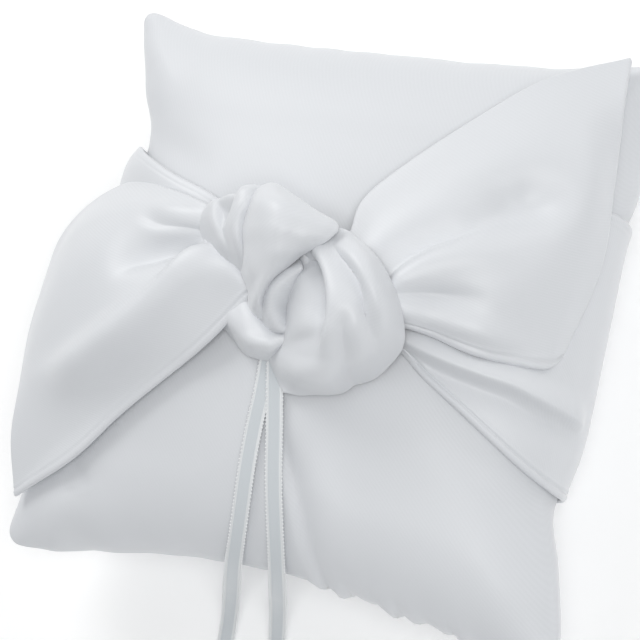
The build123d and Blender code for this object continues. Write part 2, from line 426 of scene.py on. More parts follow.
THREAD = fibrous("sewing_thread", (0.72, 0.72, 0.71), 0.6, 2500.0)
PICOT = fibrous("picot_thread", (0.93, 0.94, 0.95), 0.5, 3000.0)
FIBRE = fibrous("polyester_fibre", (0.8, 0.8, 0.78), 0.9, 400.0)


def finish(piece, material, slot, body, *nodes_replaced):
    """Gives a piece its material, the CAD nodes it stands for and the body it rides on; slot is not
    used.
    """
    piece.data.materials.clear()
    piece.data.materials.append(material)
    if nodes_replaced:
        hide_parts(*nodes_replaced)
    if body:
        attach(piece, body)


# ---- cushion ----------------------------------------------------------------------------------
SEAM_Z = 33.0
CROWN = 35.0                # front cover's height over the seam
BELLY = 46.0                # back cover's depth under the seam, before the table flattens it
TABLE_REST_Z = 2.4          # the back cover rests on the sash here
BLUNT, FULLNESS = 2.3, 0.42     # shape of the cushion's section: flat on top, blunt at its edge

# Plan outline of the seam: distance from the middle to each side, against the place along it.
LEFT_SIDE = (
    (-98, 99), (-85, 97), (-70, 92), (-56, 87), (-30, 84.5), (0, 83), (30, 80.5), (44, 79.5),
    (54, 81.5), (64, 86), (78, 91), (95, 97),
)
RIGHT_SIDE = (
    (-98, 99), (-88, 97), (-75, 93.5), (-66, 91), (-54, 86.8), (-44, 87.2), (-28, 89.6), (0, 90),
    (36, 90.5), (50, 93), (58, 94), (75, 96), (95, 99),
)
TOP_SIDE = (
    (-98, 100.5), (-88, 97), (-76, 93), (-61, 91), (-30, 90), (0, 90), (30, 90), (60, 91),
    (84, 94), (98, 97),
)
BOTTOM_SIDE = (
    (-98, 101.5), (-80, 99), (-59, 95), (-30, 90.5), (0, 89), (21, 89.5), (42, 92), (69, 96),
    (98, 101),
)


def side_table(points):
    fine = curve_points(points, 200)
    return lambda place: np.interp(place, fine[:, 0], fine[:, 1])


LEFT_REACH, RIGHT_REACH = side_table(LEFT_SIDE), side_table(RIGHT_SIDE)
TOP_REACH, BOTTOM_REACH = side_table(TOP_SIDE), side_table(BOTTOM_SIDE)


def half_width(x, y):
    return np.where(x < 0, LEFT_REACH(y), RIGHT_REACH(y))


def half_height(x, y):
    return np.where(y < 0, BOTTOM_REACH(x), TOP_REACH(x))


CUSHION_STROKES = (
    # soft crease right of the ribbons, from under the knot down to the closed seam
    (((4.5, -42), (6.5, -50), (10.7, -59), (14.5, -69), (18, -80),
      (22, -90)), 6, 2.2, -2.6, (1, 0)),
    (((11, -46), (18, -60), (24, -72), (29, -84)), 7, 8, 1.4, (1, 0)),
    # hollow under the lower left tail
    (((-80, -66), (-68, -71), (-56, -76)), 6, 8, -1.8, (1, 1)),
    # pulls into the corners
    (((-90, 91), (-78, 76), (-62, 60)), 4, 9, 1.4, (1, 1)),
    (((-84, 92), (-70, 80), (-52, 70)), 7, 7, -1.0, (1, 1)),
    (((90, -92), (76, -76), (60, -60)), 10, 5, 1.2, (1, 1)),
    (((-91, -92), (-72, -84), (-50, -76)), 7, 7, 1.0, (1, 1)),
    # dip where the sash pulls the cover in
    (((-82, 52), (-60, 42), (-36, 32)), 7, 7, -1.0, (0, 1)),
    (((44, -28), (62, -42), (76, -51), (88, -60)), 6, 6, -1.2, (1, 0)),
)


def cover_rise(x, y):
    """Share of the full height at a place in plan, from 0 at the seam to 1 in the middle."""
    u = np.abs(x) / half_width(x, y)
    v = np.abs(y) / half_height(x, y)
    return (np.clip(1 - u ** BLUNT, 0, 1) * np.clip(1 - v ** BLUNT, 0, 1)) ** FULLNESS


def cushion_top(x, y, strokes=True):
    """Height of the front cover."""
    rise = cover_rise(x, y)
    z = SEAM_Z + CROWN * rise
    if strokes:
        z = z + sum(stroke(x, y, *one) for one in CUSHION_STROKES) * np.clip(rise * 3, 0, 1)
    return z


def cushion_low(x, y):
    """Height of the back cover, flattened softly where it rests."""
    z = SEAM_Z - BELLY * cover_rise(x, y)
    over = np.maximum(z - TABLE_REST_Z, 0)
    return TABLE_REST_Z + over + 1.2 * np.exp(-((over / 4) ** 2)) * (over > 0)


def cushion_plan(u, v):
    """Plan place of a point given from -1 to 1 each way, with slightly rounded corners."""
    x, y = u * 95, v * 95
    for _ in range(8):
        x, y = u * half_width(x, y), v * half_height(x, y)
    corner = (np.abs(u) * np.abs(v)) ** 14
    return x - np.sign(u) * corner * 3.0, y - np.sign(v) * corner * 3.0


CUSHION_CELLS = 150
CUSHION_THREADS = -7        # angle of the covers' threads in plan, in degrees
FILLING_INSET = 2.0

# Hand stitches that close the stuffing opening, along the bottom seam.
CLOSING_START, CLOSING_END, CLOSING_STEP = 12, 68, 4


def seam_pucker(u, v):
    """Uneven gathers along the seam: how far a point moves up, and how far it moves out."""
    rng = np.random.default_rng(11)
    edge = np.maximum(np.abs(u), np.abs(v))
    along = np.where(np.abs(u) > np.abs(v), v, u)
    waves = np.zeros(u.shape)
    for _ in range(9):
        waves += np.sin(along * rng.uniform(14, 44) + rng.uniform(0, 6.3)) / 3
    bottom = (v < 0) & (np.abs(v) >= np.abs(u))
    size = np.where(bottom, 0.4 + 0.8 * np.exp(-(((along + 0.7) / 0.16) ** 2)), 0.3)
    near = np.exp(-(1 - edge) * 14)
    # the cover puffs out between the closing stitches, in uneven groups
    x = along * 92
    puff = np.abs(np.sin(math.pi * (x - CLOSING_START) / (2 * CLOSING_STEP)))
    puff = puff * (1 + 0.5 * np.sin(x * 0.31 + 1.0))
    opens = np.clip((x - (CLOSING_START - CLOSING_STEP)) / 8, 0, 1)
    closes = np.clip(((CLOSING_END + CLOSING_STEP) - x) / 10, 0, 1)
    closing = opens * closes * bottom
    return waves * size * near, 2.0 * puff * closing * np.exp(-(1 - edge) * 26)


def seam_points(u, v):
    """Places on the front cover from -1 to 1 each way, puckers included."""
    x, y = cushion_plan(u, v)
    rise, puff = seam_pucker(u, v)
    outward = np.stack([x, y, 0 * x], -1)
    outward /= np.maximum(np.linalg.norm(outward, axis=-1, keepdims=True), 1e-9)
    points = np.stack([x, y, cushion_top(x, y) + rise], -1)
    return points + outward * (0.5 * rise + puff)[..., None]


def side_places(cells):
    """Places from -1 to 1 along a side, closer together near the seam."""
    even = np.linspace(-1, 1, cells + 1)
    return 0.45 * np.sin(even * math.pi / 2) + 0.55 * even


def cushion_halves(cells):
    """Grids of the front and back covers, which share their rim, and the mask of that rim."""
    side = side_places(cells)
    u, v = np.meshgrid(side, side, indexing="xy")
    front = seam_points(u, v)
    x, y = cushion_plan(u, v)
    back = front.copy()
    back[..., 2] = np.maximum(cushion_low(x, y) + seam_pucker(u, v)[0], TABLE_REST_Z)
    rim = np.maximum(np.abs(u), np.abs(v)) > 1 - 1e-6
    back[rim] = front[rim]
    return front, back, rim


def half_faces(columns, under):
    faces = []
    for r in range(columns - 1):
        for c in range(columns - 1):
            corner = r * columns + c
            quad = (corner, corner + 1, corner + columns + 1, corner + columns)
            faces.append(quad)
            faces.append(tuple(int(under[i]) for i in reversed(quad)))
    return faces


SETTLE_CELLS = 64
SETTLE_CAP = 1.5            # no place moves further than this
SETTLE_EASE = 14.0          # the movement grows over this distance from the sash and the ribbons
SETTLE_FRAMES = 20
SETTLE_PRESSURE = 70


def settled(cells):
    """How far the filling's pressure moves each place of both covers, from a short cloth run.

    The seam, the table, the sash and the ribbons hold the covers where they touch them.
    """
    front, back, rim = cushion_halves(SETTLE_CELLS)
    columns = SETTLE_CELLS + 1
    count = columns * columns
    under = np.arange(count) + count
    under[rim.ravel()] = np.arange(count)[rim.ravel()]
    start = np.concatenate([front.reshape(-1, 3), back.reshape(-1, 3)])
    mesh = bpy.data.meshes.new("settling")
    mesh.from_pydata([tuple(p) for p in start * MM], [], half_faces(columns, under))
    cover = bpy.data.objects.new("settling", mesh)
    bpy.context.scene.collection.objects.link(cover)
    x, y, z = start.T
    from_sash = np.maximum(BAND_LOW_Y - 3 - y, y - BAND_TOP_Y - 3)
    from_ribbons = np.where((y < 0) & (z > SEAM_Z), np.abs(x) - 13, SETTLE_EASE)
    held = (from_sash < 0) | (from_ribbons < 0) | (z < TABLE_REST_Z + 1.5)
    held |= np.tile(rim.ravel(), 2)
    group = cover.vertex_groups.new(name="held")
    group.add([int(i) for i in np.nonzero(held)[0]], 1.0, "REPLACE")
    cloth_run = cover.modifiers.new("pressure", "CLOTH")
    fabric = cloth_run.settings
    fabric.quality = 6
    fabric.mass = 0.2
    fabric.tension_stiffness = fabric.compression_stiffness = 6
    fabric.shear_stiffness = 4
    fabric.bending_stiffness = 0.3
    fabric.use_pressure = True
    fabric.uniform_pressure_force = SETTLE_PRESSURE
    fabric.effector_weights.gravity = 0
    fabric.vertex_group_mass = "held"
    for frame_number in range(1, SETTLE_FRAMES + 1):
        bpy.context.scene.frame_set(frame_number)
    ran = cover.evaluated_get(bpy.context.evaluated_depsgraph_get()).to_mesh()
    end = np.zeros(len(start) * 3)
    ran.vertices.foreach_get("co", end)
    bpy.context.scene.frame_set(1)
    bpy.data.objects.remove(cover)
    moved = end.reshape(-1, 3) / MM - start
    reach = np.linalg.norm(moved, axis=-1, keepdims=True)
    moved *= SETTLE_CAP * np.tanh(reach / SETTLE_CAP) / np.maximum(reach, 1e-6)
    away = np.clip(np.minimum(from_sash, from_ribbons) / SETTLE_EASE, 0, 1)
    moved *= (np.sin(away * math.pi / 2) ** 2)[:, None]
    moved = moved.reshape(2, columns, columns, 3)
    moved[:, rim] = 0
    places = np.interp(side_places(cells), side_places(SETTLE_CELLS), np.linspace(0, 1, columns))
    weights = spline_weights(columns, places)
    return [np.einsum("ai,bj,ijk->abk", weights, weights, half) for half in moved]


def cushion_mesh(name, shrink):
    """Front and back of the cushion meeting at the seam, moved in by shrink."""
    front, back, rim = cushion_halves(CUSHION_CELLS)
    if not shrink:
        moved_front, moved_back = settled(CUSHION_CELLS)
        front += moved_front
        back += moved_back
        back[..., 2] = np.maximum(back[..., 2], TABLE_REST_Z)
    if shrink:
        middle = np.array([0, 0, SEAM_Z])
        for half in (front, back):
            reach = np.linalg.norm(half - middle, axis=-1, keepdims=True)
            half -= (half - middle) * (shrink / np.maximum(reach, 1))
            z = half[..., 2]
            half[..., 2] = np.where(z < SEAM_Z, z + shrink, z - shrink)
    columns = CUSHION_CELLS + 1
    count = columns * columns
    under = np.arange(count) + count
    if not shrink:
        under[rim.ravel()] = np.arange(count)[rim.ravel()]
    faces = half_faces(columns, under)
    vertices = np.concatenate([front.reshape(-1, 3), back.reshape(-1, 3)])
    halves = [plan_threads(half, CUSHION_THREADS).reshape(-1, 3) for half in (front, back)]
    threads = np.concatenate(halves)
    return new_mesh(name, vertices, faces, threads)


def make_cushion():
    cushion = cushion_mesh("cushion_covers", 0)
    finish(cushion, CUSHION_SATIN, "cushion_satin", "cushion", "cover_front", "cover_back")


# ---- sash: one band round the middle ----------------------------------------------------------
BAND_RISE = 1.5             # middle of the double layer over the cover
BAND_THICK = 1.8
BAND_TOP_Y, BAND_LOW_Y = 45.0, -53.0
BAND_TABLE_Z = 0.95         # middle of the layer where the cushion's weight lies on it
BAND_ACROSS = edge_places(95, 0.8, 0.4, 5.0)
FRONT_ROWS, BACK_ROWS = 110, 240
FADE_ROWS = 21              # the front's folds die away over these towards the cushion's side
LEFT_BAND_TOP = ((-16, 14), (-34, 24), (-51, 30.5), (-68, 38.5), (-78, 43), (-90, 45))
LEFT_BAND_LOW = ((-16, -8), (-34, -20), (-51, -32), (-68, -43), (-78, -49), (-90, -53))
RIGHT_BAND_TOP = ((30, 6), (45, 20), (58, 31), (70, 38), (80, 41), (95, 42))
RIGHT_BAND_LOW = (
    (30, -9), (38, -14.7), (46, -21.3), (57, -28.5), (67, -35), (76, -40.6), (83, -44.6),
    (90, -48.2), (95, -50),
)

BAND_STROKES = (
    # left: soft roll under the top edge
    (((-86, 38), (-66, 33), (-48, 25), (-34, 18)), 6, 6, 1.6, (1, 0)),
    # right: the upper part lies over the lower in one deep pleat
    (((38, -12), (46, -14.5), (55, -16.5), (64, -18), (72, -19), (80, -21.5),
      (90, -25)), 7, 1.7, 4.3, (0, 0)),
    (((38, -15.5), (46, -18), (55, -20.5), (64, -22), (72, -23.5), (80, -26.5),
      (90, -30)), 1.8, 5, -1.2, (0, 0)),
    (((44, -7), (58, -9.5), (72, -11), (88, -13)), 4, 4, -0.7, (1, 1)),
)


def band_reach(x, y):
    """Half width of the band: it stands a little clear of the cushion at its upper left."""
    clear = 3.6 * np.exp(-(((y - 34) / 16) ** 2)) * (1 - np.exp(-(((46 - y) / 4.5) ** 2)))
    return half_width(x, y) + np.where(x < 0, clear, 0)


def band_front(top_line, low_line, sign):
    """Grid of the front stretch from the knot to the cushion's side, before it is raised."""
    columns = len(BAND_ACROSS)
    shares = 1 - (1 - np.linspace(0, 1, FRONT_ROWS)) ** 1.7
    top, low = curve_points(top_line, 120), curve_points(low_line, 120)
    grid = np.zeros((FRONT_ROWS, columns, 3))
    root = top[0, 0]
    side_x = band_reach(sign, np.array([BAND_TOP_Y, BAND_LOW_Y]))
    order = slice(None, None, int(sign))
    for row, share in enumerate(shares):
        x_top = root + (sign * side_x[0] - root) * share
        x_low = root + (sign * side_x[1] - root) * share
        y_top = np.interp(x_top, top[order, 0], top[order, 1])
        y_low = np.interp(x_low, low[order, 0], low[order, 1])
        y = y_top + (y_low - y_top) * BAND_ACROSS
        x = root + (sign * band_reach(np.full(columns, sign), y) - root) * share
        under = x * half_width(x, y) / band_reach(x, y)
        grid[row] = np.stack([x, y, cushion_top(under, y, strokes=False)], -1)
    return grid


def band_grid():
    """Grid of the whole band: the left front stretch, the back, and the right front stretch."""
    left = band_front(LEFT_BAND_TOP, LEFT_BAND_LOW, -1.0)
    right = band_front(RIGHT_BAND_TOP, RIGHT_BAND_LOW, 1.0)
    ease = np.sin(np.linspace(-1, 1, BACK_ROWS) * math.pi / 2)[:, None]
    share = (ease + 1) / 2
    y = left[-1, :, 1][None, :] * (1 - share) + right[-1, :, 1][None, :] * share
    x = ease * band_reach(np.repeat(ease, len(BAND_ACROSS), 1), y)
    under = x * half_width(x, y) / band_reach(x, y)
    back = np.stack([x, y, cushion_low(under, y)], -1)
    return np.concatenate([left, back[1:-1], right[::-1]], 0)


def make_band():
    whole = band_grid()
    normal = grid_normals(whole, outside=(0, 0, SEAM_Z))
    threads = grid_threads(whole)
    x, y = whole[..., 0], whole[..., 1]
    front = np.zeros(len(whole))
    fade = np.clip(np.arange(FRONT_ROWS) - (FRONT_ROWS - 1 - FADE_ROWS), 0, FADE_ROWS) / FADE_ROWS
    front[:FRONT_ROWS] = np.cos(fade * math.pi / 2) ** 2
    front[-FRONT_ROWS:] = front[:FRONT_ROWS][::-1]
    lift = sum(stroke(x, y, *one) for one in BAND_STROKES) * front[:, None]
    whole = whole + normal * (BAND_RISE + lift)[..., None]
    whole = turned_seam(whole, ("first_column",), normal, 0.05, -0.07)
    whole = turned_seam(whole, ("last_column",), normal, 0.25, -0.4)
    whole[..., 2] = np.maximum(whole[..., 2], BAND_TABLE_Z)
    band = cloth("sash_band", whole, BAND_THICK, normal, threads)
    nodes = ("sash_band_left", "sash_band_back", "sash_band_right")
    finish(band, SASH_SATIN, "sash_satin", "cushion", *nodes)


# ---- tails ------------------------------------------------------------------------------------
TAIL_THICK = 1.8
TAIL_CLEARANCE = 3.6        # least height of a tail's middle layer over the cushion
# Rows run from under the knot to the far end; columns from the upper edge to the lower.
LEFT_TAIL_ROWS = (
    ((-29, 18, 75), (-23, 12, 76), (-18, 6, 76), (-12, -1, 76), (-8, -6, 74)),
    ((-36, 20, 74), (-32, 13, 77), (-29, 6, 76), (-19, -1, 80), (-11, -8, 76)),
    ((-50, 24, 68), (-47, 14, 75), (-45, 3, 74), (-35, -7, 78), (-22, -22, 73)),
    ((-73, 28, 55), (-69, 14, 66), (-66, -3, 72), (-51, -21, 75), (-37, -36, 67)),
    ((-91, 21, 47), (-88, 6, 58), (-82, -14, 65), (-66, -34, 69), (-53, -51, 61)),
    ((-102, 8, 43), (-98, -11, 51), (-93, -29, 57), (-82, -45, 60), (-70, -68, 54)),
    ((-106, -9, 40), (-103, -27, 46), (-99, -45, 50), (-97, -64, 50), (-93, -83, 45)),
)
LEFT_TAIL_STROKES = (
    # sharp fold under the upper leaf
    (((-28, 12), (-40, 11.6), (-48, 11.5), (-54, 13), (-62, 16)), 1.9, 5, -1.7, (0, 1)),
    (((-30, 16), (-42, 16.2), (-51, 17), (-59, 18)), 4, 3, 1.0, (0, 1)),
    # deep valley that runs out of the knot
    (((-26, 9), (-35, 5.4), (-42.5, 2.5), (-48, 0), (-56, -4), (-64, -9)), 2.6, 5.5, -3.4, (0, 1)),
    # long rounded fold of the lower flap, sharp near the knot and broad at the far end
    (((-24, 11), (-29.5, 7), (-33, 2), (-36.5, -4), (-44, -14), (-53, -24)), 7, 2.4, 2.2, (0, 1)),
    (((-32, 0), (-41, -10), (-51, -21), (-62, -31), (-73, -38.5), (-84, -43),
      (-100, -48)), 9, 6, 4.7, (1, 1)),
    (((-29.5, 7), (-36, -3), (-44, -13.5), (-55, -25), (-66, -34),
      (-78, -41)), 6, 1.6, 1.3, (0, 1)),
    (((-44, -24), (-58, -40), (-74, -54)), 7, 7, -1.0, (1, 1)),
)
RIGHT_TAIL_ROWS = (
    ((16, 13, 80), (20, 9, 80), (26, 4, 80), (31, -1, 78), (34, -7, 73)),
    ((18, 17, 76), (26, 12, 80), (33, 5, 81), (38, -1, 80), (39, -8, 74)),
    ((18, 28, 72), (31, 22, 78), (43, 16, 79), (49, 4, 77), (48, -9, 70)),
    ((26, 40, 69), (43, 33, 75), (58, 24, 75), (64, 8, 73), (61, -12, 67)),
    ((44, 60, 63), (60, 49, 69), (71, 36, 68), (76, 16, 67), (72, -12, 61)),
    ((63, 79, 56), (75, 64, 61), (84, 47, 61), (85, 26, 60), (81, -11, 56)),
    ((85, 93, 44), (87, 74, 49), (89, 50, 51), (90, 23, 51), (84, -7, 52)),
)
RIGHT_TAIL_STROKES = (
    # upper crease, from the knot to a hollow in the middle of the tail
    (((31, -1), (34, 3.5), (37, 8.5), (43.5, 15.4), (50, 19.8), (56, 24), (62, 29),
      (69, 36)), 6.5, 2.2, -3.4, (0, 1)),
    (((50, 23), (59, 30), (67, 34.5), (75, 39), (84, 44)), 9, 7, -5.0, (1, 1)),
    # lit fold between the crease and the lower valley
    (((34, 0), (38, 4), (44, 9), (52, 13), (62, 16.5), (72, 19)), 4.0, 5, 1.8, (0, 1)),
    # lower valley and the broad fold between it and the lower edge
    (((33, -2.5), (37, -1), (44, 1.1), (56, 3), (68, 4)), 2.6, 3.6, -2.2, (0, 1)),
    (((38, -4.2), (48, -4.2), (58, -5.2), (68, -6), (80, -6.5)), 3.8, 3, 2.2, (0, 1)),
)


def rest_above(grid, clearance):
    """Lifts a grid softly wherever it would come closer to the cushion than clearance."""
    base = cushion_top(grid[..., 0], grid[..., 1], strokes=False) + clearance
    inside = cover_rise(grid[..., 0], grid[..., 1]) > 0.02
    gap = grid[..., 2] - base
    lift = np.where(inside, 0.5 * (np.sqrt(gap * gap + 1.0) - gap), 0)
    grid = grid.copy()
    grid[..., 2] += lift
    return grid


def make_tail(name, rows, strokes, node, turn, lip):
    """One tail, in metres.

    turn is the angle of its threads in plan and lip its seam's height and depth.
    """
    grid = rest_above(raise_strokes(surface(rows), strokes), TAIL_CLEARANCE)
    normal = grid_normals(grid)
    grid = turned_seam(grid, ("last_column",), normal, *lip)
    tail = cloth(name, grid, TAIL_THICK, normal, plan_threads(grid, turn))
    finish(tail, SASH_SATIN, "sash_satin", None, node)
    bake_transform(tail)


def make_tails():
    make_tail(
        "tail_left_cloth", LEFT_TAIL_ROWS, LEFT_TAIL_STROKES, "tail_left", 35,
        (0.15, -0.22),
    )
    make_tail(
        "tail_right_cloth", RIGHT_TAIL_ROWS, RIGHT_TAIL_STROKES, "tail_right", 25,
        (0.22, -0.38),
    )


# ---- knot -------------------------------------------------------------------------------------
FOLD_THICK = 1.5
KNOT_FOLDS = {
    "knot_left_fold": (
        ((-31, 16, 77), (-33, 17, 76), (-34, 14, 75), (-32, 10, 75), (-28, 5, 74), (-24, 2, 73)),
        ((-26, 17, 78), (-28, 19, 82), (-26, 14, 84), (-23, 9, 84), (-21, 5, 82), (-19, 0, 76)),
        ((-22, 18, 77), (-24, 20, 84), (-22, 16, 84), (-20, 10, 85), (-17, 5, 84), (-16, -1, 77)),
        ((-17, 19, 72.5), (-19, 22, 87), (-16, 17, 91), (-15, 11, 91), (-13, 5, 88), (-11, -2, 79)),
        ((-12, 20, 71), (-14, 24, 88), (-12, 19, 92), (-12, 13, 90), (-11, 5, 86), (-9, -2, 78)),
        ((-9, 19, 71), (-11, 25, 85), (-10, 20, 88), (-10, 14, 87), (-9, 6, 83), (-8, -1, 76)),
    ),
    "knot_over_flap": (
        ((-14, 20, 70), (-11, 21, 69.5), (-8, 22, 69.3), (-4, 21, 69.3), (1, 17, 69.5)),
        ((-16, 24, 80), (-13, 25, 82), (-9, 27, 83), (-5, 26, 82), (0, 22, 80)),
        ((-16, 18, 82), (-8, 19, 94), (0, 19, 98), (8, 17.5, 95), (17.4, 15.6, 90.5)),
        ((-17, 12, 82), (-7, 11, 95), (3, 11, 101), (11, 11, 98), (18, 11.2, 93.3)),
        ((-15, 6, 81), (-6, 5, 93), (3, 4, 99), (9, 5, 97), (13, 7, 93)),
        ((-13, -1, 80), (-5, -2, 91), (2, -1, 96), (6, 1, 94.5), (8, 3, 91.5)),
        ((-10, -6, 79), (-4.5, -7, 87), (-1, -7, 92), (1, -5, 92.5), (1.4, -3.2, 90)),
        ((-9, -11, 77), (-5, -12, 84), (-2, -11, 88.5), (-1.6, -10, 88.5), (-1.3, -8.5, 87)),
        ((-5, -15, 74), (-3.5, -14.5, 77), (-2.4, -14, 79.5), (-2.4, -13.2, 80), (-3, -12, 80)),
    ),
    "knot_inner_loop": (
        ((7, 4, 87.5), (2, 1, 86.5), (-2, -4, 85), (-4, -8, 82.7), (-4, -13, 79), (-1, -17, 77),
         (4, -17, 74)),
        ((10, 1, 90.5), (6, -2, 90.3), (2.4, -7, 89.8), (1.4, -11, 87.8), (1.4, -14, 85.6),
         (4, -17, 82.5), (7, -17, 80)),
        ((9, 0, 89), (7, -4, 87), (5, -8, 85), (4, -11, 83), (5, -14, 82), (6, -15, 80),
         (7, -15, 79)),
        ((7, -1, 82), (6, -4, 79), (5, -8, 77), (5, -10, 76), (5, -12, 76), (6, -13, 75),
         (7, -14, 75)),
    ),
    "knot_front_bundle": (
        ((4, 8, 82), (3, 0, 79), (3, -7, 78), (3, -15, 76), (2, -21, 74), (-1, -25, 71),
         (5, -34, 69)),
        ((6.5, 8, 88.5), (9, -2, 88.5), (9, -9, 87), (10, -16, 86), (8, -22, 82), (6, -28, 78),
         (10, -34, 69.5)),
        ((10, 9.5, 89.5), (16, -1, 91), (19, -9, 91.5), (20, -16, 91.4), (17, -24, 85.5),
         (14, -30, 81), (15, -33, 70)),
        ((12.5, 12, 89.5), (23, 2, 94), (27, -7, 95.5), (28, -16, 94.3), (26, -23, 88),
         (23, -30, 81.5), (21, -32, 70)),
        ((15, 13.5, 88.5), (28, 5, 95), (34, -4, 96), (35, -13, 93.3), (33, -21, 86.5),
         (29, -27, 80), (26.5, -30.5, 70)),
        ((18, 15, 86.5), (30.5, 7, 93), (37, -2, 91.5), (39, -10, 88), (37, -18, 83),
         (33, -24, 76.5), (30, -28, 69.5)),
        ((20.5, 15, 83), (31, 8, 84.5), (37, 0, 82), (41, -9, 79), (41, -15, 75), (37, -21, 72),
         (33, -25, 69)),
    ),
    "knot_under_fold": (
        ((-29, -11, 68), (-22, -16, 69), (-16, -20, 69.5), (-11, -24, 69.5), (-7, -25, 69.5),
         (-2, -25, 69.5),
         (1, -23, 70)),
        ((-25, -10, 72), (-17, -15, 75), (-11, -19, 77), (-6, -22, 78.5), (-1, -23, 79),
         (2, -23, 79),
         (5, -21, 79)),
        ((-22, -7, 72), (-14, -12, 76), (-9, -15, 78), (-4, -18, 79), (0, -20, 80), (3, -20, 80),
         (7, -18, 80)),
        ((-22.7, -1.8, 69), (-15.4, -5.5, 74), (-10, -8.5, 75), (-4.5, -12, 75.5), (0, -15, 75),
         (4, -16, 76), (7, -14, 77)),
    ),
}
FOLD_STROKES = {
    "knot_front_bundle": (
        # first groove, deep at the top, with a sharp lip on its right
        (((10, 5), (13.6, 4), (17.6, -0.4), (20.6, -6.7), (21.8, -13.5), (21, -20),
          (19, -28)), 1.4, 4.6, -3.8, (0, 1)),
        (((15, 6), (18, 3), (21.2, -1.1), (24.2, -7), (25, -13), (23.4, -19), (21.4, -24),
          (19, -29)), 3.2, 1.5, 2.0, (0, 1)),
        # second groove
        (((16, 10.5), (20.8, 7.2), (28.3, 1.1), (32.8, -4), (35.0, -9), (36.2, -15),
          (36, -22)), 1.3, 3.8, -3.6, (1, 1)),
        (((20, 11), (24, 8), (30.8, 2.8), (35.2, -3), (37.4, -7.6), (38.2, -12), (37.6, -17),
          (36, -24)), 2.4, 1.4, 1.6, (1, 1)),
        # the faces turn down over a soft edge, then a valley runs down the middle
        (((3, -23), (10, -21), (17, -19.5), (23, -19)), 2.6, 2.6, -1.0, (1, 1)),
        (((28.2, -8), (28.2, -14), (28.6, -21), (28, -30)), 3.2, 3.2, -2.0, (1, 0)),
        (((5, -29), (16, -28), (26, -27)), 3.5, 3.5, 0.9, (1, 1)),
    ),
    "knot_over_flap": (
        # the right rim turns down over a soft crest
        (((-3, 24), (1, 20), (6.5, 16.2), (11, 14.5), (16, 13.6)), 3, 3, 0.8, (1, 0)),
        (((-9, 14), (-7, 4), (-4, -6)), 3, 3, 0.8, (1, 1)),
        (((4, 10), (8, 7), (13, 9)), 4, 4, -0.6, (1, 1)),
    ),
    "knot_left_fold": (
        # the middle lobe overlaps the left one
        (((-17, 24), (-17.6, 20), (-18.2, 16.5), (-19.6, 13.4),
          (-20.6, 10)), 1.0, 3.0, -1.6, (0, 1)),
    ),
    "knot_under_fold": (
        (((-14, -19), (-6, -21.5), (0, -22.5), (4, -21)), 1.5, 2.0, 0.7, (1, 1)),
    ),
}


def make_knot():
    for node, rows in KNOT_FOLDS.items():
        grid = surface(rows, step=0.4, fine=0.3, fine_reach=2.0)
        grid = raise_strokes(grid, FOLD_STROKES.get(node, ()))
        fold = cloth(node + "_cloth", grid, FOLD_THICK, grid_normals(grid), grid_threads(grid))
        finish(fold, SASH_SATIN, "sash_satin", "cushion", node)


# ---- ribbons ----------------------------------------------------------------------------------
RIBBON_THICK = 0.35
RIBBON_BODY = 5.4           # between its two rows of picots
PICOT_STEP = 1.25
PICOT_RADIUS = 0.33
# The right ribbon starts on top of the left one.
LEFT_RIBBON_ROUTE = (
    (-3, -23.5, 69.1), (-2.8, -34, 67.8), (-3.8, -46, 65.8), (-4.3, -60, 62.8), (-4.9, -72, 58.4),
    (-6.3, -82, 52.7), (-8.6, -90, 45.5), (-12.3, -96, 34), (-16.4, -99, 23), (-20.2, -104, 12),
    (-22.4, -111, 4.5), (-23.4, -122, 0.9), (-26, -137, 0.6), (-32, -159, 0.6), (-33, -187, 0.6),
    (-25, -217, 0.6), (-24, -246, 0.6),
)
RIGHT_RIBBON_ROUTE = (
    (-0.5, -23.5, 69.8), (1.3, -34, 68.5), (3.4, -46, 66.2), (5.1, -60, 62.8), (6.7, -72, 58.4),
    (7.5, -82, 52.7), (7, -90, 45.5), (4.2, -96, 34), (0.7, -99, 23), (-2.3, -104, 12),
    (-3.8, -111, 4.5), (-3.7, -122, 0.9), (-3, -137, 0.6), (-1, -160, 0.6), (5, -188, 0.6),
    (9, -216, 0.6), (6, -243, 0.6),
)


def route_curve(points):
    """Points along the smooth route of a ribbon, in millimetres."""
    data = bpy.data.curves.new("route", "CURVE")
    data.dimensions = "3D"
    data.resolution_u = 16
    spline = data.splines.new("NURBS")
    spline.points.add(len(points) - 1)
    for point, place in zip(spline.points, points):
        point.co = (*[c * MM for c in place], 1)
    spline.order_u = 3
    spline.use_endpoint_u = True
    carrier = bpy.data.objects.new("route", data)
    bpy.context.scene.collection.objects.link(carrier)
    mesh = bpy.data.meshes.new_from_object(carrier)
    path = np.array([v.co[:] for v in mesh.vertices]) / MM
    bpy.data.objects.remove(carrier)
    bpy.data.meshes.remove(mesh)
    return path


